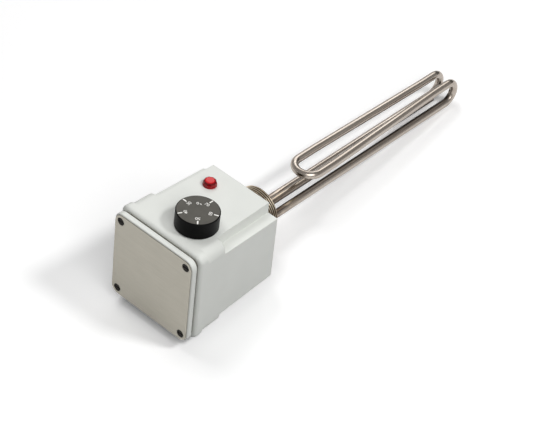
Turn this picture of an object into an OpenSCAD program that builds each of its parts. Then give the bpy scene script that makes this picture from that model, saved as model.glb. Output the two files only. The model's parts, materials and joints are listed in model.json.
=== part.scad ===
// Screw plug immersion heater with a temperature control.
// A drafted plastic housing carries the dial and the pilot lamp. The threaded plug behind it
// holds a tubular heating element, bent into four passes, and the pocket of the sensing bulb.
// Origin: plug axis at the face of the plug seal. +Y runs along the heater, +Z is up.

/* [Housing] */
// Width of the housing across its front rim
housing_w = 104; // [100:0.5:120]
// Height of the housing across its front rim
housing_h = 104; // [100:0.5:120]
// Depth of the housing from its front rim to its back wall
housing_d = 107.7; // [104:0.1:140]
// Draft of the four moulded sides, in degrees
draft = 1.86; // [0.2:0.02:2.4]
// Thickness of the moulded walls
wall = 3; // [2:0.1:3.6]
// Side of the square notch along the four long edges
notch = 12.2; // [11:0.1:13]
// Depth of the round corner pillars, measured from the front rim
pillar_d = 33.5; // [28:0.5:45]
// Depth of the thicker front rim
rim_d = 10; // [8:0.5:14]
// Corner radius of the front rim
rim_corner = 8; // [7:0.1:10]
// Radius of the rim's rounded front edge
rim_round = 3.6; // [2:0.1:4]
// How much thicker the rim is than the walls
rim_extra = 3; // [2.5:0.1:4]

/* [Cover] */
// How far the cover stands back from the rim's sides
cover_inset = 1.6; // [1:0.1:2.2]
// Depth of the cover
cover_d = 7; // [6.5:0.1:12]
// Thickness of the cover's walls
cover_wall = 3.6; // [2.6:0.1:4]
// Corner radius of the cover
cover_corner = 9.3; // [8:0.1:11]
// Radius of the cover's front edge
cover_edge = 1.2; // [0.6:0.1:1.6]
// Radius of the cover's back edge, which makes a cove with the rim's front edge
cover_back_round = 2.4; // [0.6:0.1:2.4]
// Thickness of the cover seal
cover_seal_t = 2; // [1:0.1:2.6]
// Width of the cover seal
cover_seal_w = 2.2; // [1.8:0.1:2.6]
// How far the cover seal stands back from the cover's sides
cover_seal_in = 2.4; // [2:0.1:2.5]
// Thickness of the metal face plate
plate_t = 0.8; // [0.5:0.1:1.5]
// Margin of the cover that shows round the face plate
plate_margin = 1.3; // [1.2:0.1:3]
// Corner radius of the face plate
plate_corner = 8.4; // [6:0.1:10]
// Distance of the cover screws from the rim's sides
screw_edge = 10; // [9.5:0.1:11]
// Diameter of the cover screws
cover_screw_dia = 4; // [3:0.1:4.4]
// Diameter of the recess that takes a cover screw's head
screw_recess_dia = 8.4; // [7.6:0.1:9.2]
// Depth of the recess below the cover's front
screw_recess_d = 4.6; // [3.8:0.1:5.2]
// How far the cover screws reach into the housing
cover_screw_reach = 18; // [12:0.5:26]

/* [Plug] */
// Outside diameter of the plug's pipe thread
thread_dia = 47.8; // [47.8:0.1:60]
// Length of the full thread
thread_len = 16; // [12:0.5:30]
// Length of the thread's tapered lead
thread_lead = 1.5; // [1:0.1:2.5]
// Depth of the relief groove under the thread
relief_depth = 1.9; // [1.5:0.1:2.5]
// Width of the hexagon across its flats
hex_af = 55; // [53:0.5:64]
// Thickness of the hexagon
hex_t = 12; // [9:0.5:20]
// Thickness of the flat seal on the thread side
plug_seal_t = 2; // [1:0.1:3]
// Width of the flat seal's ring
plug_seal_w = 5.85; // [4:0.05:6.8]
// Diameter of the spigot that enters the housing
spigot_dia = 40; // [38.5:0.5:42]
// How far the spigot stands out of the back wall, inside
spigot_proud = 1; // [0.5:0.1:3]
// Thickness of the gasket between hexagon and housing
gasket_t = 1; // [0.5:0.1:2]
// Diameter of the three screws that hold the housing on the plug
plug_screw_dia = 4; // [3:0.1:4.2]
// How far those screws reach into the hexagon
plug_screw_reach = 8; // [5:0.5:8.5]

/* [Heating element] */
// Diameter of the element's tube
tube_dia = 8.5; // [7:0.1:8.6]
// Distance between the two lower legs
leg_spacing = 19; // [18:0.1:21]
// Height of the lower legs, from the plug axis
lower_z = -11.3; // [-12:0.1:-10]
// Height of the upper legs at the far bends
upper_z = 14.2; // [13:0.1:17]
// Height of the upper legs at the near bend
near_z = 13; // [12:0.1:13.4]
// Distance between the upper legs at the near bend
near_spacing = 28.6; // [25:0.1:29]
// Immersed length, from the seal face to the far bends
immersed_len = 308.4; // [260:0.2:500]
// Distance from the seal face to the near bend
near_start = 68.3; // [50:0.1:110]
// Length of tube that stands out of the spigot
cold_end = 13; // [9:0.5:16]
// Diameter of the terminal pins
pin_dia = 3.5; // [3:0.1:4]
// Length of the terminal pins
pin_len = 18; // [15:0.5:22]

/* [Sensor] */
// Outside diameter of the sensor pocket
pocket_dia = 7; // [6.6:0.1:8]
// Wall of the sensor pocket
pocket_wall = 0.8; // [0.5:0.1:0.9]
// Height of the pocket, from the plug axis
pocket_z = -4; // [-5:0.1:-2]
// Length of the pocket past the seal face
pocket_len = 281; // [200:0.2:290]
// Diameter of the sensing bulb
bulb_dia = 5; // [4:0.1:5.2]
// Length of the sensing bulb
bulb_len = 70; // [50:1:110]
// Diameter of the capillary
capillary_dia = 1.6; // [1:0.1:2]

/* [Control] */
// Gap between the control's body and the wall of the notch beside it
control_margin = 1.65; // [1:0.05:4]
// Distance of the control from the front rim
control_back = 31.7; // [30:0.1:36]
// Diameter of the knob
knob_dia = 42.3; // [36:0.1:46]
// Height of the knob's top above the wall
knob_top = 18.4; // [16:0.1:22]
// Gap between the knob and the wall
knob_gap = 0.8; // [0.4:0.1:1.5]
// Wall of the knob
knob_wall = 2; // [1.4:0.1:2.6]
// Diameter of the spindle
spindle_dia = 6; // [5:0.1:6.4]
// Gap between the control's body and the inside of the front rim
control_clear = 0.7; // [0.5:0.1:3]
// Width of the control's body
control_w = 39; // [37:0.5:42]
// Height of the control's body
control_h = 26; // [20:0.5:28]
// Thickness of the control's bracket
bracket_t = 1.5; // [1:0.1:2]
// Distance between the two control screws
control_screw_spacing = 28; // [24:0.5:30]

/* [Lamp] */
// Sideways place of the pilot lamp on the top wall
lamp_x = -17.9; // [-22:0.1:-16]
// Distance of the lamp from the front rim
lamp_back = 83.3; // [80:0.1:88]
// Diameter of the lens
lens_dia = 14; // [12:0.1:16]
// Height of the lens
lens_h = 6.1; // [5:0.1:10]
// Diameter of the lamp's body
lamp_dia = 9.6; // [8:0.1:10]
// Length of the lamp's body inside the wall
lamp_len = 24; // [18:0.5:28]

/* [Terminal block] */
// Gap between the terminal block and the wall of the notch beside it
block_margin = 4; // [2:0.1:6]
// Distance of the block from the front rim
block_back = 37.7; // [34:0.1:42]
// Distance between the block's poles
pole_pitch = 8; // [7:0.1:9]
// Height of the block
block_h = 14; // [12:0.5:18]
// Width of the block, front to back
block_w = 18; // [16:0.5:22]
// Height of the bosses under the block
boss_h = 3; // [2:0.1:5]

/* [Cable gland] */
// Height of the gland on the left wall
gland_z = -14; // [-16:0.5:-4]
// Distance of the gland from the front rim
gland_back = 60.7; // [56:0.1:72]
// Diameter of the gland's thread
gland_thread_dia = 20; // [16:0.5:20]
// Width of the gland's hexagons across their flats
gland_af = 24; // [23:0.5:27]
// Diameter of the cable bore
cable_dia = 10; // [7:0.5:11]

/* [Hidden] */
$fn = 64;

// Small clearances: a screw in its thread, a brazed or running round fit, a free hole
thread_gap = 0.05;
fit_gap = 0.05;
hole_gap = 0.25;
// Depth by which a cutter passes the face it opens, and an added solid enters its carrier
past = 1;
bite = 0.5;
// A straight length of bar enters its bends by the lap, and is thinner by the step
lap = 0.2;
lap_step = 0.02;

// Stations along Y, from the seal face back to the face plate
hex_back_y = -plug_seal_t;
hex_front_y = hex_back_y - hex_t;
back_y = hex_front_y - gasket_t;
inner_back_y = back_y - wall;
spigot_y = inner_back_y - spigot_proud;
front_y = back_y - housing_d;
cover_back_y = front_y - cover_seal_t;
cover_front_y = cover_back_y - cover_d;
plate_front_y = cover_front_y - plate_t;
control_y = front_y + control_back;
lamp_y = front_y + lamp_back;
block_y = front_y + block_back;
gland_y = front_y + gland_back;

// Wall thickness measured across the part, where the wall itself leans by the draft
wall_across = wall / cos(draft);
cover_w = housing_w - 2 * cover_inset;
cover_h = housing_h - 2 * cover_inset;
screw_x = housing_w / 2 - screw_edge;
screw_z = housing_h / 2 - screw_edge;
cover_screw_r = cover_screw_dia / 2;
recess_r = screw_recess_dia / 2;
// Wall of the cover's screw pillars, how far a head lies under the plate's front, the gap round it
pillar_wall = 1.2;
head_sink = 0.2;
head_gap = 0.2;
screw_head_h = screw_recess_d + plate_t - head_sink;
screw_head_r = recess_r - head_gap;

thread_r = thread_dia / 2;
spigot_r = spigot_dia / 2;
plug_seal_in = thread_r + hole_gap;
plug_screw_r = plug_screw_dia / 2;
plug_screw_circle = (spigot_r + hex_af / 2) / 2;
plug_screw_angles = [90, 210, 330];
earth_at = [-4, spigot_y, 7];
earth_screw_r = 2;
earth_head_h = 2.4;
earth_reach = 8;

tube_r = tube_dia / 2;
leg_x = leg_spacing / 2;
near_r = near_spacing / 2;
far_bend_r = (upper_z - lower_z) / 2;
far_bend_y = immersed_len - tube_r - far_bend_r;
near_bend_y = near_start + tube_r + near_r;
spread_bend = 60;
spread_len = (far_bend_y - near_bend_y) * 0.8;
cold_y = spigot_y - cold_end;
bush_len = 4;
pin_r = pin_dia / 2;
pin_end_y = cold_y - pin_len;
nut_af = 7;
nut_t = 3.2;

pocket_r = pocket_dia / 2;
pocket_bore_r = pocket_r - pocket_wall;
bulb_r = bulb_dia / 2;
bulb_end_y = pocket_len - pocket_r - 4;
bulb_start_y = bulb_end_y - bulb_len;
capillary_r = capillary_dia / 2;
capillary_bend = 10;

control_x = half_w(control_y) - wall_across - notch - control_margin - control_w / 2;
control_len = 2 * (control_back - rim_d - control_clear);
knob_r = knob_dia / 2;
spindle_r = spindle_dia / 2;
hub_r = spindle_r + 3;
spindle_top = knob_top - knob_wall - 1;
spindle_seat = 6;
control_bottom = -wall - bracket_t - control_h;
control_screw_r = 2;
control_head_r = 3.4;
control_head_h = 2;
control_screw_reach = 6;

lens_r = lens_dia / 2;
lamp_r = lamp_dia / 2;
lamp_tab_x = 2.5;
lamp_nut_t = 3;

pole_offsets = [for (i = [0:3]) (i - 1.5) * pole_pitch];
block_len = 4 * pole_pitch + 4;
block_x = -half_w(block_y) + wall_across + notch + block_margin + block_len / 2;
block_top = -wall - boss_h - block_h;
block_screw_r = 1.5;
block_head_h = 2;
block_screw_reach = 4;
block_screw_x = pole_pitch;
boss_r = 3.6;
wire_r = 1.2;
lead_r = 0.8;
wire_bend = 5;
wire_rise = 14;
lead_bend = 3;

gland_r = gland_thread_dia / 2;
gland_hex_t = 6;
gland_stub_in = 11;
gland_stub_out = 16;
gland_nut_start = 7.5;
gland_nut_top = 24;
gland_dome = 7;
gland_locknut_t = 5;
gland_seal_low = 3;
gland_seal_top = 18;
cable_r = cable_dia / 2;
gland_seal_r = cable_r + 1.8;

corners = [[-1, -1], [1, -1], [1, 1], [-1, 1]];

grey_plastic = [0.85, 0.86, 0.84];
plate_metal = [0.66, 0.64, 0.60];
nickel = [0.62, 0.57, 0.51];
zinc = [0.72, 0.72, 0.70];
black = [0.09, 0.09, 0.09];
rubber_black = [0.13, 0.13, 0.13];
brass = [0.75, 0.62, 0.35];
ceramic_white = [0.93, 0.92, 0.88];
copper = [0.72, 0.45, 0.30];

// Lean of the moulded sides: half width and half height of the housing at a station y
function lean(y) = (y - front_y) * tan(draft);
function half_w(y) = housing_w / 2 - lean(y);
function half_h(y) = housing_h / 2 - lean(y);

// The walls are reached by a turn about Y: the top is 0, the bottom 180, the left -90
top_wall = 0;
bottom_wall = 180;
left_wall = -90;
function wall_half(turn, y) = abs(turn) == 90 ? half_w(y) : half_h(y);
function turned(turn, p) =
    [p[0] * cos(turn) + p[2] * sin(turn), p[1], -p[0] * sin(turn) + p[2] * cos(turn)];

// A point given in a wall's own frame, moved to the frame of the part
function wall_point(turn, across, y, p) = turned(turn, [across + p[0],
    y + p[1] * cos(draft) + p[2] * sin(draft),
    wall_half(turn, y) - p[1] * sin(draft) + p[2] * cos(draft)]);

// Stands its children on a leaning wall, with Z as the wall's outward normal
module on_wall(turn, across, y)
    rotate([0, turn, 0])
        translate([across, y, wall_half(turn, y)])
            rotate([-draft, 0, 0])
                children();

// Turns a shape drawn along Z so that it runs along +Y
module along_y(y = 0)
    translate([0, y, 0])
        rotate([-90, 0, 0])
            children();

// Disc, tube and hexagon standing between two heights
module rod_z(r, z0, z1)
    translate([0, 0, z0])
        cylinder(h = z1 - z0, r = r);

module tube_z(r_out, r_in, z0, z1)
    difference() {
        rod_z(r_out, z0, z1);
        rod_z(r_in, z0 - past, z1 + past);
    }

module hex_z(af, z0, z1)
    translate([0, 0, z0])
        cylinder(h = z1 - z0, r = af / 2 / cos(30), $fn = 6);

// Hexagon with the corners of both faces turned off
module chamfered_hex(af, z0, z1) {
    edge = af * 0.045;
    r = af / 2 / cos(30);
    intersection() {
        hex_z(af, z0, z1);
        rotate_extrude()
            polygon([[0, z0], [r - edge, z0], [r, z0 + edge * 0.6], [r, z1 - edge * 0.6],
                [r - edge, z1], [0, z1]]);
    }
}

// Rectangle with round corners
module rounded(w, h, r) {
    square([w - 2 * r, h], center = true);
    square([w, h - 2 * r], center = true);
    for (c = corners)
        translate([c[0] * (w / 2 - r), c[1] * (h / 2 - r)])
            circle(r);
}

// Slotted screw along Z, head above zero
module screw(shank_r, reach, head_r, head_h) {
    slot_w = head_r * 0.34;
    difference() {
        rod_z(head_r, 0, head_h);
        translate([0, 0, head_h])
            cube([2 * head_r + past, slot_w, head_h], center = true);
    }
    rod_z(shank_r, -reach, bite);
}

// Round bar along a path, with a bend of constant radius at each corner
function unit(v) = v / norm(v);
function turn_at(p, i) = acos(unit(p[i] - p[i - 1]) * unit(p[i + 1] - p[i]));
function trim_at(p, i, bend) =
    i == 0 || i == len(p) - 1 ? 0 : bend * tan(turn_at(p, i) / 2);
function lap_at(p, i, bend) =
    i == 0 || i == len(p) - 1 ? 0 : min(lap, bend * turn_at(p, i) * PI / 180 / 4);

module in_frame(i, j, k, at)
    multmatrix([[i[0], j[0], k[0], at[0]], [i[1], j[1], k[1], at[1]], [i[2], j[2], k[2], at[2]]])
        children();

module bar(a, b, r) {
    k = unit(b - a);
    side = abs(k[2]) < 0.9 ? [0, 0, 1] : [1, 0, 0];
    i = unit(cross(side, k));
    in_frame(i, cross(k, i), k, a)
        cylinder(h = norm(b - a), r = r);
}

module elbow(start, heading, inward, bend, angle, r)
    in_frame(-inward, heading, cross(heading, inward), start + inward * bend)
        rotate_extrude(angle = angle)
            translate([bend, 0])
                circle(r);

module bent_bar(p, bend, r) {
    for (i = [0:len(p) - 2]) {
        k = unit(p[i + 1] - p[i]);
        bar(p[i] + k * (trim_at(p, i, bend) - lap_at(p, i, bend)),
            p[i + 1] - k * (trim_at(p, i + 1, bend) - lap_at(p, i + 1, bend)), r - lap_step);
    }
    if (len(p) > 2)
        for (i = [1:len(p) - 2]) {
            u = unit(p[i] - p[i - 1]);
            w = unit(p[i + 1] - p[i]);
            elbow(p[i] - u * trim_at(p, i, bend), u, unit(w - u * (u * w)), bend, turn_at(p, i), r);
        }
}

// Block whose four sides lean in by the draft, between two stations
module drafted_block(w, h, y0, y1) {
    module side(size, a, b)
        polygon([[-size / 2 + lean(a), a], [size / 2 - lean(a), a],
            [size / 2 - lean(b), b], [-size / 2 + lean(b), b]]);
    intersection() {
        linear_extrude(h + 2 * past, center = true)
            side(w, y0, y1);
        rotate([0, 90, 0])
            linear_extrude(w + 2 * past, center = true)
                side(h, y0 - past, y1 + past);
    }
}

// The housing's cross-shaped section: a tall block and a wide block, both inset by a wall
module cross_block(inset, y0, y1) {
    drafted_block(housing_w - 2 * (notch + inset), housing_h - 2 * inset, y0, y1);
    drafted_block(housing_w - 2 * inset, housing_h - 2 * (notch + inset), y0, y1);
}

// Corner post of a moulded frame: round front edge, drafted side and round or sharp back edge,
// turned about its axis
module frame_post(corner, edge, depth, slope, back) {
    edge_arc = [for (a = [0:15:90]) [corner - edge + edge * sin(a), edge - edge * cos(a)]];
    side_r = corner - slope;
    back_arc = back > 0
        ? [for (a = [0:15:90]) [side_r - back + back * cos(a), depth - back + back * sin(a)]]
        : [[side_r, depth]];
    rotate_extrude($fn = 48)
        polygon(concat([[0, 0]], edge_arc, back_arc, [[0, depth]]));
}

module frame_block(w, h, corner, edge, depth, y, slope = 0, back = 0)
    hull()
        for (c = corners)
            translate([c[0] * (w / 2 - corner), y, c[1] * (h / 2 - corner)])
                rotate([-90, 0, 0])
                    frame_post(corner, edge, depth, slope, back);

module at_cover_screws()
    for (c = corners)
        translate([c[0] * screw_x, 0, c[1] * screw_z])
            children();

module at_plug_screws()
    for (a = plug_screw_angles)
        translate([plug_screw_circle * cos(a), 0, plug_screw_circle * sin(a)])
            children();

module at_control_screws()
    on_wall(top_wall, control_x, control_y)
        for (s = [-1, 1])
            translate([0, s * control_screw_spacing / 2, 0])
                children();

module at_block_screws()
    on_wall(bottom_wall, -block_x, block_y)
        for (s = [-1, 1])
            translate([s * block_screw_x, 0, 0])
                children();

// Moulded box: thick front rim, corner pillars for the cover screws, notched long edges
module housing() color(grey_plastic) {
    pillar_y = front_y + rim_d;
    pillar_end = front_y + pillar_d;
    difference() {
        union() {
            difference() {
                union() {
                    frame_block(housing_w, housing_h, rim_corner, rim_round, rim_d, front_y,
                        slope = lean(pillar_y));
                    cross_block(0, pillar_y, back_y);
                    for (c = corners)
                        translate([c[0] * (housing_w / 2 - notch), 0, c[1] * (housing_h / 2 - notch)])
                            along_y(pillar_y)
                                cylinder(h = pillar_end - pillar_y,
                                    r1 = notch - lean(pillar_y), r2 = notch - lean(pillar_end));
                }
                cross_block(wall_across, pillar_y, inner_back_y);
                cross_block(wall_across + rim_extra, front_y - past, pillar_y + past);
            }
            at_block_screws()
                rod_z(boss_r, -wall - boss_h, -wall + bite);
        }
        at_cover_screws()
            along_y(front_y - past)
                cylinder(h = past + cover_screw_reach + bite, r = cover_screw_r + thread_gap);
        along_y(inner_back_y - past)
            cylinder(h = wall + 2 * past, r = spigot_r + hole_gap);
        at_plug_screws()
            along_y(inner_back_y - past)
                cylinder(h = wall + 2 * past, r = plug_screw_r + hole_gap);
        on_wall(top_wall, control_x, control_y)
            rod_z(spindle_r + 2, -wall - past, past);
        at_control_screws()
            rod_z(control_screw_r + hole_gap, -wall - past, past);
        on_wall(top_wall, lamp_x, lamp_y)
            rod_z(lamp_r + hole_gap, -wall - past, past);
        on_wall(left_wall, gland_z, gland_y)
            rod_z(gland_r + hole_gap, -wall - past, past);
        at_block_screws()
            rod_z(block_screw_r + thread_gap, -wall - boss_h - past, -wall - boss_h + block_screw_reach + bite);
    }
}

// Moulded tray with a pillar and a recess for each screw
module cover() color(grey_plastic) {
    pillar_r = recess_r + pillar_wall;
    difference() {
        union() {
            difference() {
                frame_block(cover_w, cover_h, cover_corner, cover_edge, cover_d, cover_front_y,
                    back = cover_back_round);
                along_y(cover_front_y + cover_wall)
                    linear_extrude(cover_d)
                        rounded(cover_w - 2 * cover_wall, cover_h - 2 * cover_wall, cover_corner - cover_wall);
            }
            at_cover_screws()
                along_y(cover_front_y + cover_wall - bite)
                    cylinder(h = cover_d - cover_wall + bite, r = pillar_r);
        }
        at_cover_screws() {
            along_y(cover_front_y - past)
                cylinder(h = past + screw_recess_d, r = recess_r);
            along_y(cover_front_y)
                cylinder(h = cover_d + past, r = cover_screw_r + hole_gap);
        }
    }
}

// Flat rubber frame between cover and rim
module cover_seal() color(rubber_black) {
    seal_corner = cover_corner - cover_seal_in;
    w = cover_w - 2 * cover_seal_in;
    h = cover_h - 2 * cover_seal_in;
    along_y(cover_back_y)
        linear_extrude(cover_seal_t)
            difference() {
                rounded(w, h, seal_corner);
                rounded(w - 2 * cover_seal_w, h - 2 * cover_seal_w, seal_corner - cover_seal_w);
            }
}

// Satin sheet-metal plate on the cover
module face_plate() color(plate_metal)
    along_y(plate_front_y)
        linear_extrude(plate_t)
            difference() {
                rounded(cover_w - 2 * plate_margin, cover_h - 2 * plate_margin, plate_corner);
                for (c = corners)
                    translate([c[0] * screw_x, c[1] * screw_z])
                        circle(recess_r + head_gap / 2);
            }

module cover_screws() color(black)
    at_cover_screws()
        translate([0, cover_front_y + screw_recess_d, 0])
            rotate([90, 0, 0])
                screw(cover_screw_r, cover_d - screw_recess_d + cover_seal_t + cover_screw_reach,
                    screw_head_r, screw_head_h);

// Hexagon plug with a relief groove, a pipe thread and the bores for tube and pocket
module screw_plug() color(nickel)
    difference() {
        union() {
            along_y()
                chamfered_hex(hex_af, hex_front_y, hex_back_y);
            along_y(spigot_y)
                cylinder(h = hex_front_y - spigot_y + bite, r = spigot_r);
            along_y(hex_back_y - bite)
                cylinder(h = plug_seal_t + 2 * bite, r = thread_r - relief_depth);
            along_y()
                cylinder(h = thread_len, r = thread_r);
            along_y(thread_len)
                cylinder(h = thread_lead, r1 = thread_r, r2 = thread_r - thread_lead * 1.1);
        }
        for (s = [-1, 1])
            translate([s * leg_x, 0, lower_z])
                along_y(spigot_y - past)
                    cylinder(h = thread_len + thread_lead - spigot_y + 2 * past, r = tube_r + fit_gap);
        translate([0, 0, pocket_z])
            along_y(spigot_y - past)
                cylinder(h = thread_len + thread_lead - spigot_y + 2 * past, r = pocket_r + fit_gap);
        at_plug_screws()
            along_y(hex_front_y - past)
                cylinder(h = past + plug_screw_reach + bite, r = plug_screw_r + thread_gap);
        translate([earth_at[0], 0, earth_at[2]])
            along_y(spigot_y - past)
                cylinder(h = past + earth_reach + bite, r = earth_screw_r + thread_gap);
    }

// Flat ring that seals the plug against the tank
module plug_seal() color(rubber_black)
    along_y()
        tube_z(plug_seal_in + plug_seal_w, plug_seal_in, hex_back_y, 0);

module housing_gasket() color(rubber_black)
    difference() {
        along_y()
            tube_z(hex_af / 2 - bite, spigot_r + hole_gap, back_y, hex_front_y);
        at_plug_screws()
            along_y(back_y - past)
                cylinder(h = gasket_t + 2 * past, r = plug_screw_r + hole_gap);
    }

module plug_screws() color(zinc)
    at_plug_screws()
        translate([0, inner_back_y, 0])
            rotate([90, 0, 0])
                screw(plug_screw_r, wall + gasket_t + plug_screw_reach, plug_screw_r + 1.4, 2.4);

module earth_screw() color(brass)
    translate(earth_at)
        rotate([90, 0, 0])
            screw(earth_screw_r, earth_reach, earth_screw_r + 1.6, earth_head_h);

// One tube in four passes: lower legs, two upright far bends, spread upper legs, flat near bend
module heating_element() color(nickel) {
    bend_in = far_bend_y - (far_bend_y - near_bend_y - spread_len) / 2;
    bend_out = bend_in - spread_len;
    for (s = [-1, 1]) {
        bar([s * leg_x, cold_y, lower_z], [s * leg_x, far_bend_y + lap, lower_z], tube_r - lap_step);
        elbow([s * leg_x, far_bend_y, lower_z], [0, 1, 0], [0, 0, 1], far_bend_r, 180, tube_r);
        bent_bar([[s * leg_x, far_bend_y + lap, upper_z], [s * leg_x, bend_in, upper_z],
            [s * near_r, bend_out, near_z], [s * near_r, near_bend_y - lap, near_z]], spread_bend, tube_r);
    }
    elbow([near_r, near_bend_y, near_z], [0, -1, 0], [-1, 0, 0], near_r, 180, tube_r);
}

module at_pins()
    for (s = [-1, 1])
        translate([s * leg_x, 0, lower_z])
            children();

module terminal_pins() color(zinc)
    at_pins()
        along_y(pin_end_y)
            cylinder(h = pin_len, r = pin_r);

module pin_bushes() color(ceramic_white)
    at_pins()
        along_y()
            tube_z(tube_r - 0.6, pin_r + fit_gap, cold_y - bush_len, cold_y);

module pin_nuts() color(brass)
    at_pins()
        along_y()
            difference() {
                chamfered_hex(nut_af, cold_y - bush_len - nut_t, cold_y - bush_len);
                rod_z(pin_r + thread_gap, cold_y - bush_len - nut_t - past, cold_y - bush_len + past);
            }

// Closed tube brazed through the plug, round at its far end
module sensor_pocket() color(nickel)
    translate([0, 0, pocket_z])
        difference() {
            along_y()
                rotate_extrude()
                    polygon(concat([[0, spigot_y], [pocket_r, spigot_y]],
                        [for (a = [0:15:90]) [pocket_r - 1 + cos(a), pocket_len - 1 + sin(a)]],
                        [[0, pocket_len]]));
            along_y(spigot_y - past)
                cylinder(h = pocket_len - pocket_wall - 1 - spigot_y + past, r = pocket_bore_r);
        }

module sensing_bulb() color(copper)
    translate([0, 0, pocket_z])
        along_y(bulb_start_y)
            cylinder(h = bulb_len, r = bulb_r);

// Fine copper tube from the bulb to the back of the control
module capillary() color(copper) {
    rise_y = cold_y - 10;
    rear = [-control_x, control_len / 2, -wall - bracket_t - control_h / 2];
    enter = wall_point(top_wall, control_x, control_y, rear);
    before = wall_point(top_wall, control_x, control_y, rear + [0, 14, 0]);
    bent_bar([[0, bulb_start_y, pocket_z], [0, rise_y, pocket_z],
        [0, rise_y, before[2] + (before[1] - rise_y) * tan(draft)], enter],
        min(capillary_bend, (rise_y - enter[1]) * 0.45), capillary_r);
}

// Closed switch body with a seat for the spindle and room for the two screws
module control_body() color(black)
    on_wall(top_wall, control_x, control_y)
        difference() {
            translate([0, 0, control_bottom])
                linear_extrude(control_h)
                    rounded(control_w, control_len, 3);
            rod_z(spindle_r + fit_gap, -wall - bracket_t - spindle_seat - fit_gap, 0);
            for (s = [-1, 1])
                translate([0, s * control_screw_spacing / 2, 0])
                    rod_z(control_screw_r + hole_gap, -wall - control_screw_reach - bite, 0);
        }

module control_bracket() color(zinc)
    on_wall(top_wall, control_x, control_y)
        translate([0, 0, -wall - bracket_t])
            linear_extrude(bracket_t)
                difference() {
                    rounded(control_w - 2, control_len - 2, 3);
                    circle(spindle_r + 1);
                    for (s = [-1, 1])
                        translate([0, s * control_screw_spacing / 2])
                            circle(control_screw_r + thread_gap);
                }

module control_screws() color(zinc)
    at_control_screws()
        screw(control_screw_r, wall + control_screw_reach, control_head_r, control_head_h);

// Spindle with a flat for the knob
module control_spindle() color(zinc)
    on_wall(top_wall, control_x, control_y)
        difference() {
            rod_z(spindle_r, -wall - bracket_t - spindle_seat, spindle_top);
            translate([spindle_r * 0.55, -spindle_r, knob_gap + 4])
                cube([2 * spindle_r, 2 * spindle_r, spindle_top]);
        }

// Hollow knob on a hub with a flatted bore
module knob() color(black)
    on_wall(top_wall, control_x, control_y) {
        edge = 0.6;
        difference() {
            rotate_extrude()
                polygon([[knob_r - knob_wall, knob_gap], [knob_r - edge / 2, knob_gap], [knob_r, knob_gap + edge],
                    [knob_r, knob_top - edge], [knob_r - edge, knob_top], [0, knob_top],
                    [0, knob_gap + 4], [hub_r, knob_gap + 4], [hub_r, knob_top - knob_wall],
                    [knob_r - knob_wall, knob_top - knob_wall]]);
            difference() {
                rod_z(spindle_r + fit_gap, knob_gap, spindle_top + fit_gap);
                translate([spindle_r * 0.55 + fit_gap, -2 * spindle_r, knob_gap + 4 - fit_gap])
                    cube([2 * spindle_r, 4 * spindle_r, spindle_top]);
            }
        }
    }

// Drum-shaped lens, rounded off to a flat top
module lamp_lens() color([0.72, 0.05, 0.07])
    on_wall(top_wall, lamp_x, lamp_y) {
        top_r = lens_r * 0.68;
        shoulder_h = lens_h * 0.47;
        rotate_extrude()
            polygon(concat([[0, 0], [lens_r, 0]],
                [for (a = [0:15:90]) [top_r + (lens_r - top_r) * cos(a),
                    shoulder_h + (lens_h - shoulder_h) * sin(a)]],
                [[0, lens_h]]));
    }

module lamp_body() color(black)
    on_wall(top_wall, lamp_x, lamp_y) {
        rod_z(lamp_r, -wall - lamp_len, 0);
    }

module lamp_nut() color(black)
    on_wall(top_wall, lamp_x, lamp_y)
        difference() {
            chamfered_hex(lamp_dia + 4.4, -wall - lamp_nut_t, -wall);
            rod_z(lamp_r + thread_gap, -wall - lamp_nut_t - past, past - wall);
        }

// Four-pole block on two bosses of the bottom wall, with a barrel for each pole
module terminal_block() color(ceramic_white)
    on_wall(bottom_wall, -block_x, block_y)
        difference() {
            union() {
                translate([0, 0, block_top + block_h / 2])
                    linear_extrude(block_h / 2)
                        rounded(block_len, block_w, 1.5);
                for (x = pole_offsets)
                    translate([x, 0, block_top])
                        linear_extrude(block_h / 2 + bite)
                            rounded(pole_pitch - 1.6, block_w - 3, 1);
            }
            for (s = [-1, 1])
                translate([s * block_screw_x, 0, 0]) {
                    rod_z(block_screw_r + hole_gap, block_top - past, 0);
                    rod_z(block_screw_r + 1.4, block_top - past, block_top + block_h / 2 - bite);
                }
        }

module block_screws() color(zinc)
    at_block_screws()
        translate([0, 0, block_top + block_h / 2 - bite])
            mirror([0, 0, 1])
                screw(block_screw_r, block_h / 2 + bite + block_screw_reach, block_screw_r + 1.1, block_head_h);

// Ends of the wires: on a pole of the block, under the control, on a pin
function pole_at(i, lift) =
    wall_point(bottom_wall, -block_x, block_y, [-pole_offsets[i], 0, block_top - lift]);
function under_control(x, y, drop) =
    wall_point(top_wall, control_x, control_y, [x, y, control_bottom - drop]);

module wire_supply() color([0.45, 0.28, 0.16]) {
    tab = [-8, 2];
    bent_bar([pole_at(3, 0), pole_at(3, wire_rise), under_control(tab[0], tab[1], wire_rise), under_control(tab[0], tab[1], 0)],
        wire_bend, wire_r);
}

module wire_load() color(black) {
    tab = [9.6, 5];
    drop = under_control(tab[0], tab[1], 0)[2] - lower_z;
    bent_bar([under_control(tab[0], tab[1], 0), under_control(tab[0], tab[1], drop),
        [leg_x, pin_end_y - wire_rise, lower_z], [leg_x, pin_end_y, lower_z]], wire_bend, wire_r);
}

module wire_neutral() color([0.16, 0.32, 0.66]) {
    lift = lower_z - pole_at(1, 0)[2];
    bent_bar([pole_at(1, 0), pole_at(1, lift), [-leg_x, pin_end_y - 12, lower_z], [-leg_x, pin_end_y, lower_z]],
        wire_bend, wire_r);
}

module wire_earth() color([0.45, 0.62, 0.18]) {
    lift = earth_at[2] - pole_at(2, 0)[2];
    bent_bar([pole_at(2, 0), pole_at(2, lift), [earth_at[0], pin_end_y - 8, earth_at[2]],
        earth_at - [0, earth_head_h, 0]], wire_bend, wire_r);
}

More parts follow.
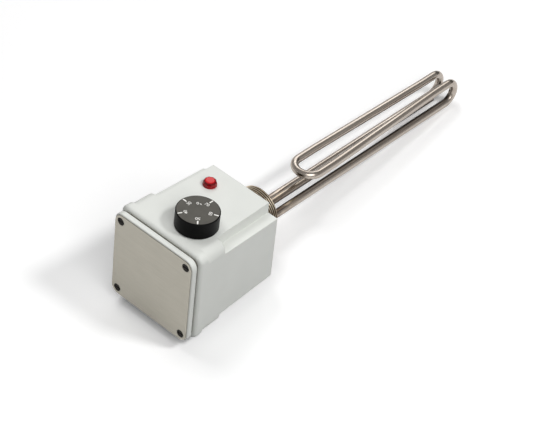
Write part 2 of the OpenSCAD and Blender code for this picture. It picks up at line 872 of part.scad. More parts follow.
// Two thin leads from the pilot lamp, to the control and to the block
module lamp_leads() color([0.80, 0.80, 0.78]) {
    tab = [-16, 10];
    level = 7;
    foot = -wall - lamp_len;
    left = wall_point(top_wall, lamp_x, lamp_y, [-lamp_tab_x, 0, foot]);
    right = wall_point(top_wall, lamp_x, lamp_y, [lamp_tab_x, 0, foot]);
    left_low = wall_point(top_wall, lamp_x, lamp_y, [-lamp_tab_x, 0, foot - level]);
    right_low = wall_point(top_wall, lamp_x, lamp_y, [lamp_tab_x, 0, foot - level]);
    bent_bar([right, right_low, under_control(tab[0], tab[1], level), under_control(tab[0], tab[1], 0)],
        lead_bend, lead_r);
    bent_bar([left, left_low, pole_at(0, left_low[2] - pole_at(0, 0)[2]), pole_at(0, 0)], lead_bend, lead_r);
}

// Cable gland on the left wall: body, clamping nut, seal sleeve and locknut
module gland_body() color(grey_plastic)
    on_wall(left_wall, gland_z, gland_y)
        difference() {
            union() {
                chamfered_hex(gland_af, 0, gland_hex_t);
                rod_z(gland_r, -gland_stub_in, bite);
                rod_z(gland_r - 0.5, gland_hex_t - bite, gland_stub_out);
            }
            rod_z(cable_r + 0.6, -gland_stub_in - past, gland_stub_out + past);
            rod_z(gland_seal_r + fit_gap, gland_seal_low, gland_stub_out + past);
        }

module gland_nut() color(grey_plastic)
    on_wall(left_wall, gland_z, gland_y)
        difference() {
            intersection() {
                chamfered_hex(gland_af, gland_nut_start, gland_nut_top);
                rotate_extrude()
                    polygon(concat([[0, gland_nut_start], [gland_af, gland_nut_start], [gland_af, gland_nut_top - gland_dome - 3]],
                        [for (a = [0:15:90]) [gland_seal_r + 0.4 + (gland_af * 0.55 - gland_seal_r) * cos(a),
                            gland_nut_top - gland_dome + gland_dome * sin(a)]],
                        [[0, gland_nut_top]]));
            }
            rod_z(gland_r - 0.5 + thread_gap, gland_nut_start - past, gland_seal_top);
            rod_z(cable_r + 0.6, gland_nut_start, gland_nut_top + past);
        }

module gland_seal() color(rubber_black)
    on_wall(left_wall, gland_z, gland_y)
        tube_z(gland_seal_r, cable_r, gland_seal_low, gland_seal_top);

module gland_locknut() color(grey_plastic)
    on_wall(left_wall, gland_z, gland_y)
        difference() {
            chamfered_hex(gland_thread_dia + 7, -wall - gland_locknut_t, -wall);
            rod_z(gland_r + thread_gap, -wall - gland_locknut_t - past, past - wall);
        }

housing();
cover();
cover_seal();
face_plate();
cover_screws();
screw_plug();
plug_seal();
housing_gasket();
plug_screws();
earth_screw();
heating_element();
terminal_pins();
pin_bushes();
pin_nuts();
sensor_pocket();
sensing_bulb();
capillary();
control_body();
control_bracket();
control_screws();
control_spindle();
knob();
lamp_lens();
lamp_body();
lamp_nut();
terminal_block();
block_screws();
wire_supply();
wire_load();
wire_neutral();
wire_earth();
lamp_leads();
gland_body();
gland_nut();
gland_seal();
gland_locknut();
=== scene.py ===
"""Looks of a screw plug immersion heater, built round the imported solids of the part."""

import json
import bmesh
import bpy
import numpy as np
from mathutils import Matrix, Vector


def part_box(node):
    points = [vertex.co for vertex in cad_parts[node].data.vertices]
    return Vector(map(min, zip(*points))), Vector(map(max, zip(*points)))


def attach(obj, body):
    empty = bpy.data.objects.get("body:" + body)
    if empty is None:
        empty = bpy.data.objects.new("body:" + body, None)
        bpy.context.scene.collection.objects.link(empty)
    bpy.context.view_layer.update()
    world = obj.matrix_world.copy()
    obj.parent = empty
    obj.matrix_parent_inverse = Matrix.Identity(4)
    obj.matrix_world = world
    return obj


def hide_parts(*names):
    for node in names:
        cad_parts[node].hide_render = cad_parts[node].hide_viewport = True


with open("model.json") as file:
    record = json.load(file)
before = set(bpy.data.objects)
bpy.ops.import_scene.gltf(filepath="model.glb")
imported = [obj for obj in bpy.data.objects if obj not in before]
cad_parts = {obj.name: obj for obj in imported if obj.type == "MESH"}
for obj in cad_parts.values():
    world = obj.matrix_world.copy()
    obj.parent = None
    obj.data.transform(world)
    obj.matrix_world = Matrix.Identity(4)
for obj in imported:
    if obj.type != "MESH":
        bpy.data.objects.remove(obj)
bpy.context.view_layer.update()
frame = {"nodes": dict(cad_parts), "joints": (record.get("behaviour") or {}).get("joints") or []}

# Screw plug
# Brass hexagon bar turned down to a spigot, with a relief groove and a pipe thread chased on the lathe.
# Brazing the tube and the pocket through it has left the metal a dull, uneven brown.

MM = 0.001


def linear(code):
    """A colour written as sRGB hex, turned to the linear values that a shader socket takes."""
    c = np.array([int(code[k:k + 2], 16) for k in (1, 3, 5)]) / 255
    return (*np.where(c <= 0.04045, c / 12.92, ((c + 0.055) / 1.055) ** 2.4), 1.0)


def add(tree, kind, inputs=(), out=0, stops=(), **settings):
    """Adds a shader node and gives back one of its outputs. Settings are the node's attributes, an input
    is a plain value or a socket to link, and stops are a colour ramp's places and hex colours."""
    made = tree.nodes.new("ShaderNode" + kind)
    for name, value in settings.items():
        setattr(made, name, value)
    for name, value in dict(inputs).items():
        if isinstance(value, bpy.types.NodeSocket):
            tree.links.new(value, made.inputs[name])
        else:
            made.inputs[name].default_value = value
    for k, (position, code) in enumerate(stops):
        element = made.color_ramp.elements[k] if k < 2 else made.color_ramp.elements.new(position)
        element.position = position
        element.color = linear(code)
    return made.outputs[out] if made.outputs else None


def bare_finish(name):
    """A material with an empty node tree; returns it, the tree and the piece's own place in metres."""
    material = bpy.data.materials.new(name)
    material.use_nodes = True
    tree = material.node_tree
    tree.nodes.clear()
    return material, tree, add(tree, "TexCoord", out="Object")


def every_mm(size):
    """Texture scale at which a pattern comes round once in so many millimetres."""
    return 1 / (size * MM)


def ring_shell(name, rings, sharp=35.0):
    """Closed skin over rings of points in mm: quads join point j of ring i to ring i + 1, and a fan to the
    middle of the first and last ring closes the ends. Edges over sharp degrees stay crisp."""
    n, m = rings.shape[:2]
    i, j = np.meshgrid(np.arange(n - 1), np.arange(m), indexing="ij")
    k = (j + 1) % m
    quads = np.stack([i * m + j, i * m + k, (i + 1) * m + k, (i + 1) * m + j], -1).reshape(-1, 4)
    here = np.arange(m)
    after = (here + 1) % m
    start = np.stack([np.full(m, n * m), after, here], -1)
    end = np.stack([np.full(m, n * m + 1), (n - 1) * m + here, (n - 1) * m + after], -1)
    points = np.concatenate([rings.reshape(-1, 3), rings[:1].mean(1), rings[-1:].mean(1)]) * MM
    mesh = bpy.data.meshes.new(name)
    mesh.from_pydata(points.tolist(), [], quads.tolist() + start.tolist() + end.tolist())
    mesh.polygons.foreach_set("use_smooth", np.ones(len(mesh.polygons), bool))
    mesh.set_sharp_from_angle(angle=np.radians(sharp))
    made = bpy.data.objects.new(name, mesh)
    bpy.context.scene.collection.objects.link(made)
    return made


def points_at(x, y, z):
    """Points from three arrays of coordinates, any of which may be a single number, one row or one column."""
    return np.stack(np.broadcast_arrays(*(np.asarray(v, float) for v in (x, y, z))), -1)


def turned_rings(y, radius, columns):
    """Rings of a turned piece on the Y axis: station y[i], radius[i] all round or radius[i, j]."""
    turn = np.arange(columns) * 2 * np.pi / columns
    radius = np.asarray(radius, float).reshape(len(y), -1)
    return points_at(radius * np.cos(turn), np.asarray(y)[:, None], -radius * np.sin(turn))


PLUG_COLUMNS = 216
SPIGOT_R, GROOVE_R, FLAT_R = 20.0, 22.0, 27.5
HEX_FRONT_Y, HEX_BACK_Y, THREAD_Y = -14.0, -2.0, 0.0
THREAD_R, THREAD_PITCH, THREAD_DEPTH = 23.9, 2.309, 1.48
spigot_y, plug_end_y = (corner.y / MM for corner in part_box("screw_plug"))
plug_turn = np.arange(PLUG_COLUMNS) * 2 * np.pi / PLUG_COLUMNS

# Hexagon: flat distance over the cosine of the angle from the flat's middle, cut by a 31 degree cone
# that turns the corners off both faces.
HEX_SECTOR = np.pi / 3
CONE_R, CONE_GROWTH, CONE_LENGTH, CONE_STATIONS = 29.28, 1.667, 1.5, 7
hex_y = np.concatenate([np.linspace(HEX_FRONT_Y, HEX_FRONT_Y + CONE_LENGTH, CONE_STATIONS),
                        np.linspace(HEX_BACK_Y - CONE_LENGTH, HEX_BACK_Y, CONE_STATIONS)])
hexagon = FLAT_R / np.cos(plug_turn % HEX_SECTOR - HEX_SECTOR / 2)
corner_cone = CONE_R + CONE_GROWTH * np.minimum(hex_y - HEX_FRONT_Y, HEX_BACK_Y - hex_y)
hex_radius = np.minimum(hexagon[None], corner_cone[:, None])

# Pipe thread: a cosine wave that climbs one pitch a turn, cut down by a short cone where it runs out
# into the relief groove and by the lead at the open end.
RUN_OUT_R, LEAD_R, LEAD_GROWTH, THREAD_STATIONS = 22.1, 22.25, 1.1, 127
thread_y = np.linspace(THREAD_Y, plug_end_y, THREAD_STATIONS)
thread_phase = 2 * np.pi * thread_y[:, None] / THREAD_PITCH - plug_turn[None]
thread_wave = THREAD_R - THREAD_DEPTH / 2 * (1 - np.cos(thread_phase))
run_out = RUN_OUT_R + LEAD_GROWTH * (thread_y - THREAD_Y)
lead = LEAD_R + LEAD_GROWTH * (plug_end_y - thread_y)
thread_radius = np.minimum(thread_wave, np.minimum(run_out, lead)[:, None])

# The groove's last ring stands a hair before the thread's first, so that the step between them is crisp.
THREAD_STEP = 0.02
plug_y = np.concatenate([[spigot_y, HEX_FRONT_Y], hex_y, [HEX_BACK_Y, THREAD_Y - THREAD_STEP], thread_y])
plug_radius = np.concatenate([np.full((2, PLUG_COLUMNS), SPIGOT_R), hex_radius,
                              np.full((2, PLUG_COLUMNS), GROOVE_R), thread_radius])
plug = ring_shell("turned_plug", turned_rings(plug_y, plug_radius, PLUG_COLUMNS), sharp=38)

# Turned and tarnished brass, duller on the hexagon and dark on the brazed end face. The crests of the
# thread are pale and its roots dark, partly wear and partly painted highlight and painted shade, and the
# underside is darkened by painted shade. Lathe lines run round it, drawn 0.12 mm apart so that they show.
# Nearly all of a noise texture lies in the noise span.
NOISE_SPAN = {"From Min": 0.3, "From Max": 0.7}
CREST_FROM_R, CREST_FULL_R = 22.75, 23.75
# Below the underside height the tone falls towards the dull share: painted shade.
UNDERSIDE_Z, TOP_SIDE_Z, DULL_AND_SHADED_SHARE = 8.0, 19.0, 0.5
plug_metal, tree, place = bare_finish("turned_plug_metal_tarnished_painted_shade")
blotch = add(tree, "TexNoise", {"Vector": place, "Scale": every_mm(5), "Detail": 4.0})
round_it = add(tree, "Mapping", {"Vector": place, "Scale": [every_mm(40), every_mm(0.12), every_mm(40)]})
lathe = add(tree, "TexNoise", {"Vector": round_it, "Scale": 1.0, "Detail": 2.0})
across = add(tree, "VectorMath", {0: place, 1: (1, 0, 1)}, operation="MULTIPLY")
off_axis = add(tree, "VectorMath", {0: across}, out="Value", operation="LENGTH")
# Pale crests and dark roots by radius: partly wear, partly painted highlight and painted shade.
worn_and_lit = add(tree, "MapRange", {"Value": off_axis, "From Min": CREST_FROM_R * MM,
                              "From Max": CREST_FULL_R * MM})
# Duller on the hexagon, and darker low down on the plug as painted shade.
for axis, dull, clean in (("Y", HEX_BACK_Y, THREAD_Y), ("Z", UNDERSIDE_Z, TOP_SIDE_Z)):
    share = add(tree, "MapRange", {"Value": add(tree, "SeparateXYZ", {0: place}, out=axis),
                                   "From Min": dull * MM, "From Max": clean * MM, "To Min": DULL_AND_SHADED_SHARE})
    worn_and_lit = add(tree, "Math", {0: worn_and_lit, 1: share}, operation="MULTIPLY")
uneven = add(tree, "MapRange", {"Value": blotch, **NOISE_SPAN, "To Min": -0.12, "To Max": 0.12})
worn_and_lit = add(tree, "Math", {0: worn_and_lit, 1: uneven}, operation="ADD", use_clamp=True)
tone = add(tree, "ValToRGB", {"Fac": worn_and_lit}, stops=((0.0, "#2A2019"), (0.35, "#7C6954"), (0.75, "#F2E4CE")))
rough = add(tree, "MapRange", {"Value": blotch, **NOISE_SPAN, "To Min": 0.42, "To Max": 0.26})
lines = add(tree, "Bump", {"Height": lathe, "Distance": 0.012 * MM, "Strength": 0.6})
skin = add(tree, "BsdfPrincipled", {"Base Color": tone, "Roughness": rough, "Normal": lines, "Metallic": 1.0})
add(tree, "OutputMaterial", {"Surface": skin})
plug.data.materials.append(plug_metal)
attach(plug, "heater")
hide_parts("screw_plug")

# Heating tube
# One nickel alloy sheath packed with heating wire and powder, bent into four passes. Drawing leaves fine
# lines along it, and the heat of brazing has browned it near the plug.

TUBE_R, LEG_X, NEAR_Y, NEAR_Z, SPREAD_SHARE = 4.25, 9.5, 86.85, 13.0, 0.8
LOW_STATIONS, FAR_STATIONS, HIGH_STATIONS, NEAR_STATIONS, TUBE_COLUMNS = 90, 31, 76, 17, 44
tube_low, tube_high = (np.array(corner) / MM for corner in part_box("heating_element"))
low_z, high_z, near_r = tube_low[2] + TUBE_R, tube_high[2] - TUBE_R, tube_high[0] - TUBE_R
bend_z, bend_r = (low_z + high_z) / 2, (high_z - low_z) / 2
far_y = tube_high[1] - TUBE_R - bend_r


def swept_rings(path, radius, columns):
    """Circles carried along a path: in each the first axis is a fixed slanting direction, made square
    to the path's run, and the second is square to both."""
    run = np.gradient(path, axis=0)
    run /= np.linalg.norm(run, axis=1, keepdims=True)
    slant = np.full(3, 3 ** -0.5)
    first = slant - run * (run @ slant)[:, None]
    first /= np.linalg.norm(first, axis=1, keepdims=True)
    second = np.cross(run, first)
    turn = (np.arange(columns) * 2 * np.pi / columns)[:, None]
    return path[:, None] + radius * (first[:, None] * np.cos(turn) + second[:, None] * np.sin(turn))


# One half: lower leg, upright far bend, upper leg that spreads and sinks, quarter of the flat near bend.
# The other half is its mirror image.
low_y = np.linspace(tube_low[1], far_y, LOW_STATIONS)
far_turn = np.radians(np.linspace(-90, 90, FAR_STATIONS))[1:]
high_y = np.linspace(far_y, NEAR_Y, HIGH_STATIONS)[1:]
near_turn = np.radians(np.linspace(0, 90, NEAR_STATIONS))[1:]
leg_middle, spread_reach = (far_y + NEAR_Y) / 2, SPREAD_SHARE * (far_y - NEAR_Y) / 2
spread = np.clip(0.5 - (high_y - leg_middle) / (2 * spread_reach), 0, 1)
half_tube = np.concatenate([
    points_at(LEG_X, low_y, low_z),
    points_at(LEG_X, far_y + bend_r * np.cos(far_turn), bend_z + bend_r * np.sin(far_turn)),
    points_at(LEG_X + (near_r - LEG_X) * spread, high_y, high_z + (NEAR_Z - high_z) * spread),
    points_at(near_r * np.cos(near_turn), NEAR_Y - near_r * np.sin(near_turn), NEAR_Z)])
tube_path = np.concatenate([half_tube, (half_tube * [-1, 1, 1])[-2::-1]])
tube = ring_shell("heating_tube", swept_rings(tube_path, TUBE_R, TUBE_COLUMNS))

# Painted shade: three fades that darken and dull the metal low down between the lower legs.
PAINTED_SHADE_FADES = (("X", 13.0, 9.0), ("X", -8.5, -5.5), ("Z", 1.0, -6.0))
BROWN_FROM_Y, BROWN_FULL_Y = 80.0, 25.0


def drawn_sheath(name, light, dark, painted_shade, stain, bare_and_highlight):
    """Drawn tube: hair lines along Y, drawn 0.9 mm wide so that they show. Painted shade is the product of
    three fades, each from none to full along an axis, so that it lies low down between the legs and darkens
    and dulls the metal there. Brown stains left by the braze, and pale patches that are partly clean metal
    left by the braze and partly painted highlight, fade out along the tube."""
    material, tree, place = bare_finish(name)
    along = add(tree, "Mapping", {"Vector": place, "Scale": [every_mm(0.9), every_mm(160), every_mm(0.9)]})
    lines = add(tree, "TexNoise", {"Vector": along, "Scale": 1.0, "Detail": 1.0})
    long_patch = add(tree, "Mapping", {"Vector": place, "Scale": [every_mm(5), every_mm(26), every_mm(5)]})
    patch = add(tree, "TexNoise", {"Vector": long_patch, "Scale": 1.0, "Detail": 3.0})
    share = 1.0
    for axis, clean, full in PAINTED_SHADE_FADES:
        fade = add(tree, "MapRange", {"Value": add(tree, "SeparateXYZ", {0: place}, out=axis),
                                      "From Min": clean * MM, "From Max": full * MM},
                   interpolation_type="SMOOTHSTEP")
        share = add(tree, "Math", {0: share, 1: fade}, operation="MULTIPLY")
    near_plug = add(tree, "MapRange", {"Value": add(tree, "SeparateXYZ", {0: place}, out="Y"),
                                       "From Min": BROWN_FROM_Y * MM, "From Max": BROWN_FULL_Y * MM},
                    interpolation_type="SMOOTHSTEP")
    surface = add(tree, "ValToRGB", {"Fac": lines}, stops=((0.3, dark), (0.7, light)))
    # The painted shade colour is mixed in by its share.
    surface = add(tree, "Mix", {0: share, 6: surface, 7: linear(painted_shade)}, out=2, data_type="RGBA")
    # Brown stains, then pale patches near the plug that are partly clean metal and partly painted highlight.
    for low, high, colour in ((1.1, -0.6, stain), (-0.9, 1.0, bare_and_highlight)):
        level = add(tree, "MapRange", {"Value": patch, **NOISE_SPAN, "To Min": low, "To Max": high})
        spot = add(tree, "Math", {0: near_plug, 1: level}, operation="MULTIPLY", use_clamp=True)
        surface = add(tree, "Mix", {0: spot, 6: surface, 7: linear(colour)}, out=2, data_type="RGBA")
    dull = add(tree, "MapRange", {"Value": share, "To Min": 0.21, "To Max": 0.36})
    drift = add(tree, "MapRange", {"Value": patch, **NOISE_SPAN, "To Min": -0.03, "To Max": 0.04})
    rough = add(tree, "Math", {0: dull, 1: drift}, operation="ADD")
    hair = add(tree, "Bump", {"Height": lines, "Distance": 0.012 * MM, "Strength": 0.5})
    skin = add(tree, "BsdfPrincipled", {"Base Color": surface, "Roughness": rough, "Normal": hair,
                                        "Metallic": 1.0})
    add(tree, "OutputMaterial", {"Surface": skin})
    return material


# Drawn nickel alloy: bright and slightly warm, with hair lines that stretch each highlight along the tube.
# Its third colour is painted shade low down between the legs.
sheath = drawn_sheath("drawn_nickel_alloy_sheath", "#BDB4AB", "#A69B90", "#3C342E", "#66513E", "#D6C2A8")
tube.data.materials.append(sheath)
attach(tube, "heater")
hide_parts("heating_element")

# Sensor pocket
# A closed tube of the same alloy, brazed through the plug between the lower legs. Its end is rounded, and
# the sensing bulb slides into it from the housing.

END_ROUND, END_LEAD, POCKET_STATIONS, POCKET_COLUMNS = 1.0, 0.2, 60, 40
pocket_low, pocket_high = (np.array(corner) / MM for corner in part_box("sensor_pocket"))
pocket_r = (pocket_high[0] - pocket_low[0]) / 2
pocket_x, pocket_z = (pocket_high[0] + pocket_low[0]) / 2, (pocket_high[2] + pocket_low[2]) / 2

# A straight run, then a quarter circle that rounds the end.
straight_y = np.linspace(pocket_low[1], pocket_high[1] - END_ROUND - END_LEAD, POCKET_STATIONS)
end_turn = np.radians(np.linspace(0, 90, 7))
end_y = pocket_high[1] + END_ROUND * (np.sin(end_turn) - 1)
end_r = pocket_r + END_ROUND * (np.cos(end_turn) - 1)
pocket_rings = turned_rings(np.concatenate([straight_y, end_y]),
                            np.concatenate([np.full(POCKET_STATIONS, pocket_r), end_r]), POCKET_COLUMNS)
pocket = ring_shell("sensor_pocket_tube", pocket_rings + [pocket_x, 0, pocket_z])

# The same drawn metal in darker colours, as painted shade, because it lies between the legs where shade
# falls.
# Its third colour is painted shade too.
pocket_skin = drawn_sheath("drawn_pocket_tube", "#B0A598", "#968A7D", "#564C44", "#6B5744", "#C4AE92")
pocket.data.materials.append(pocket_skin)
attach(pocket, "heater")
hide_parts("sensor_pocket")

# Braze fillets
# Rings of yellow braze metal round the two legs and the pocket. It ran into the joints on the plug's end
# face while it was liquid, and set in a hollow curve.

FILLET_HEIGHT, FILLET_WIDTH, FILLET_HOLLOW, FILLET_SINK, FILLET_COLUMNS = 1.5, 1.4, 2.2, 0.05, 40


def mottled(name, low, high, gloss, grain_mm, depth_mm, shine):
    """A finish with one grain in its colour, gloss and relief: two colours, the roughness at each, the
    grain's width and depth, and the plain values of the shader."""
    material, tree, place = bare_finish(name)
    grain = add(tree, "TexNoise", {"Vector": place, "Scale": every_mm(grain_mm), "Detail": 4.0})
    tone = add(tree, "ValToRGB", {"Fac": grain}, stops=((0.35, low), (0.65, high)))
    rough = add(tree, "MapRange", {"Value": grain, **NOISE_SPAN, "To Min": gloss[0], "To Max": gloss[1]})
    relief = add(tree, "Bump", {"Height": grain, "Distance": depth_mm * MM, "Strength": 0.5})
    skin = add(tree, "BsdfPrincipled", {"Base Color": tone, "Roughness": rough, "Normal": relief, **shine})
    add(tree, "OutputMaterial", {"Surface": skin})
    return material


# Braze as it set: yellowish, rippled and half dull.
braze = mottled("braze_metal_as_it_set", "#8C7448", "#BFA873", (0.5, 0.3), 1.6, 0.1, {"Metallic": 1.0})

# A fillet's width falls with a power of the height that is left, and its edges are sunk into the plug and
# the tube, so that no gap shows.
climb = np.linspace(0, 1, 9)
fillet_y = plug_end_y - FILLET_SINK + FILLET_HEIGHT * climb
for label, x, z, r in (("left", -LEG_X, low_z, TUBE_R), ("right", LEG_X, low_z, TUBE_R),
                       ("pocket", pocket_x, pocket_z, pocket_r)):
    fillet_r = r - FILLET_SINK + FILLET_WIDTH * (1 - climb) ** FILLET_HOLLOW
    fillet_rings = turned_rings(fillet_y, fillet_r, FILLET_COLUMNS)
    fillet = ring_shell("braze_fillet_" + label, fillet_rings + [x, 0, z])
    fillet.data.materials.append(braze)
    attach(fillet, "heater")

# Seals
# Flat rings and a sleeve of black sheet rubber: on the plug, between plug and housing, under the
# cover and in the cable gland.


def dress(material, *names):
    """Gives solids of the part one finish, in place of their plain colour."""
    for name in names:
        slots = frame["nodes"][name].data.materials
        slots.clear()
        slots.append(material)


# Cut rubber: dull and slightly dusty.
RUBBER_GRAIN, RUBBER_RELIEF = 0.8, 0.04
rubber = mottled("cut_sheet_rubber", "#1B1B1B", "#2B2B2A", (0.62, 0.78), RUBBER_GRAIN, RUBBER_RELIEF,
                 {"Specular IOR Level": 0.3})
dress(rubber, "plug_seal", "housing_gasket", "gland_seal")

# The same rubber where it shows under the cover, painted mid grey in place of black: painted light, so that
# the groove under the cover reads lit.
rubber_painted_lit = mottled("sheet_rubber_painted_lit", "#5C5953", "#6C6962", (0.7, 0.85), RUBBER_GRAIN, RUBBER_RELIEF,
                        {"Specular IOR Level": 0.2})
dress(rubber_painted_lit, "cover_seal")

# Housing and cover
# Injection-moulded warm grey plastic: a drafted box with notched edges and a shallow cover, held
# together by four screws. All edges come out of the mould slightly rounded.


def moulded(name, low, high, gloss, grain_mm, depth_mm, edge_mm, shine=()):
    """Moulded plastic: a fine even grain that moves the roughness by 0.05 either way, clouds of colour
    30 mm wide, and edges rounded by the mould."""
    material, tree, place = bare_finish(name)
    fine = add(tree, "TexNoise", {"Vector": place, "Scale": every_mm(grain_mm), "Detail": 2.0})
    cloud = add(tree, "TexNoise", {"Vector": place, "Scale": every_mm(30), "Detail": 2.0})
    tone = add(tree, "ValToRGB", {"Fac": cloud}, stops=((0.3, low), (0.7, high)))
    rough = add(tree, "MapRange", {"Value": fine, **NOISE_SPAN,
                                   "To Min": gloss - 0.05, "To Max": gloss + 0.05})
    edge = add(tree, "Bevel", {"Radius": edge_mm * MM}, samples=6)
    relief = add(tree, "Bump", {"Height": fine, "Distance": depth_mm * MM, "Strength": 0.5, "Normal": edge})
    skin = add(tree, "BsdfPrincipled", {"Base Color": tone, "Roughness": rough, "Normal": relief,
                                        **dict(shine)})
    add(tree, "OutputMaterial", {"Surface": skin})
    return material


# Light grey ABS: the mould's spark texture, drawn 0.35 mm wide so that it shows, makes it satin.
grey_plastic = moulded("moulded_warm_grey_plastic", "#E0E2DD", "#E4E6E1", 0.45, 0.35, 0.02, 0.7)
dress(grey_plastic, "housing", "cover")

# Face plate
# Thin anodised aluminium sheet, brushed across before anodising and stuck in the cover's front.
# Its face is bare.

# Brushed and anodised: a soft warm grey sheen with lines across, drawn 0.16 mm wide so that they show.
plate_metal, tree, place = bare_finish("brushed_anodised_aluminium")
brushed = add(tree, "Mapping", {"Vector": place, "Scale": [every_mm(28), every_mm(2), every_mm(0.16)]})
brush = add(tree, "TexNoise", {"Vector": brushed, "Scale": 1.0, "Detail": 3.0})
haze = add(tree, "TexNoise", {"Vector": place, "Scale": every_mm(22), "Detail": 3.0})
tone = add(tree, "ValToRGB", {"Fac": brush}, stops=((0.3, "#A5A196"), (0.7, "#B4B0A5")))
rough = add(tree, "MapRange", {"Value": haze, **NOISE_SPAN, "To Min": 0.4, "To Max": 0.48})
edge = add(tree, "Bevel", {"Radius": 0.25 * MM}, samples=6)
lines = add(tree, "Bump", {"Height": brush, "Distance": 0.01 * MM, "Strength": 0.5, "Normal": edge})
skin = add(tree, "BsdfPrincipled", {"Base Color": tone, "Roughness": rough, "Normal": lines, "Metallic": 1.0})
add(tree, "OutputMaterial", {"Surface": skin})
dress(plate_metal, "face_plate")

# Cover screws
# Four slotted screws of oil-blackened steel, turned with tall heads that fill the recesses in the cover's
# corners. They clamp the cover and its seal on the housing.

# Oil-blackened steel: the black skin hides the metal, nearly black and dull, with a brown cast where rubbed.
blackened = mottled("oil_blackened_steel", "#100E0B", "#2A2620", (0.6, 0.5), 0.9, 0.02,
                    {"Specular IOR Level": 0.2})
dress(blackened, "cover_screws")

# Fixings inside the housing
# Zinc-plated screws, bracket, spindle and pins, brass nuts and earth screw, and the copper bulb and
# capillary of the control. They are pressed, turned or drawn, and closed in by the cover.

# Zinc plate is faintly blue and cloudy, turned brass yellow and bright, drawn copper a soft red.
zinc = mottled("zinc_plated_steel", "#A9ACAE", "#C3C6C8", (0.28, 0.4), 1.5, 0.02, {"Metallic": 1.0})
dress(zinc, "plug_screws", "control_bracket", "control_screws", "control_spindle", "terminal_pins",
      "block_screws")
brass = mottled("turned_brass", "#B08D4A", "#CDAA62", (0.24, 0.36), 1.2, 0.02, {"Metallic": 1.0})
dress(brass, "earth_screw", "pin_nuts")
copper = mottled("drawn_copper", "#A5613E", "#C98562", (0.26, 0.38), 1.0, 0.02, {"Metallic": 1.0})
dress(copper, "sensing_bulb", "capillary")

# Insulators, control body and wires
# Fired white bushes and terminal block, black moulded control and lamp holder, and wires in the
# usual insulation colours, all closed inside the housing.

# Glazed ceramic is milky and glossy, pressed phenolic black and half glossy, extruded vinyl smooth.
ceramic = moulded("glazed_white_ceramic", "#E6E2D6", "#EFECE2", 0.25, 0.8, 0.02, 0.3)
dress(ceramic, "pin_bushes", "terminal_block")
phenolic = moulded("black_phenolic_moulding", "#151414", "#1D1C1B", 0.42, 0.5, 0.02, 0.3)
dress(phenolic, "control_body", "lamp_body", "lamp_nut")
for wire, low, high in (("wire_supply", "#5E3A20", "#6C4528"), ("wire_load", "#161616", "#202020"),
                        ("wire_neutral", "#21457F", "#2A5296"), ("wire_earth", "#6E9426", "#8FAE33"),
                        ("lamp_leads", "#CFCFCA", "#DCDCD6")):
    vinyl = moulded("extruded_vinyl_" + wire, low, high, 0.4, 0.6, 0.02, 0.1)
    dress(vinyl, wire)

# Dial knob
# Turned-over cup of black phenolic plastic, pressed in a polished mould and pushed on the spindle. A
# satin disc is let into its top, with figures and strokes filled in white paint.

# Polished phenolic: deep black with a dim, soft shine.
knob_black = moulded("black_phenolic_polished", "#050505", "#080808", 0.36, 0.7, 0.012, 0.4,
                     {"Specular IOR Level": 0.07})
dress(knob_black, "knob")

KNOB_TOP = 18.4
dial_turn = frame["joints"][0]
knob_at, knob_axis = Vector(dial_turn["pos_m"]), Vector(dial_turn["axis"])
wall_lean = Vector((0, 0, 1)).rotation_difference(knob_axis).to_matrix()


def on_wall(rings, foot):
    """Rings drawn upright round the Z axis, leant as the housing's top wall leans and set on a foot in mm."""
    return rings @ np.array(wall_lean).T + np.array(foot)


# Dial disc: three rings, from a foot inside the knob up a short edge and in over it.
DISC_R, DISC_EDGE, DISC_COLUMNS = 20.2, 0.02, 120
DISC_FOOT, DISC_LIP, DISC_LEVEL = -0.3, 0.005, 0.015
disc_turn = np.arange(DISC_COLUMNS) * 2 * np.pi / DISC_COLUMNS
disc_r = np.array([DISC_R, DISC_R, DISC_R - DISC_EDGE])[:, None]
disc_z = KNOB_TOP + np.array([DISC_FOOT, DISC_LIP, DISC_LEVEL])[:, None]
disc_rings = points_at(disc_r * np.cos(disc_turn), disc_r * np.sin(disc_turn), disc_z)
dial_disc = ring_shell("dial_disc", on_wall(disc_rings, knob_at / MM), sharp=20)

# Satin dark grey lacquer: a broad soft sheen with a trace of speckle.
disc_finish, tree, place = bare_finish("satin_dark_grey_lacquer")
sheen = add(tree, "TexNoise", {"Vector": place, "Scale": every_mm(9), "Detail": 3.0})
speckle = add(tree, "TexNoise", {"Vector": place, "Scale": every_mm(0.4), "Detail": 2.0})
tone = add(tree, "ValToRGB", {"Fac": sheen}, stops=((0.35, "#3F3C34"), (0.65, "#46433B")))
rough = add(tree, "MapRange", {"Value": speckle, **NOISE_SPAN, "To Min": 0.4, "To Max": 0.48})
grit = add(tree, "Bump", {"Height": speckle, "Distance": 0.01 * MM, "Strength": 0.4})
skin = add(tree, "BsdfPrincipled", {"Base Color": tone, "Roughness": rough, "Normal": grit})
add(tree, "OutputMaterial", {"Surface": skin})
dial_disc.data.materials.append(disc_finish)
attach(dial_disc, "dial")

FIGURE_HEIGHT, FIGURE_R, ZERO_R, FONT_PER_FIGURE, STROKE_SWELL = 3.5, 12.0, 9.4, 1.42, 0.03
TICK_LENGTH, TICK_WIDTH, TICK_R = 4.8, 1.4, 17.7
DASH_LENGTH, DASH_WIDTH, DASH_X, DASH_R, DASH_TURN = 2.4, 0.8, 2.7, 8.5, np.radians(42)
MARK_LIFT, STROKE_STATIONS, STROKE_END = 0.03, 17, 0.02


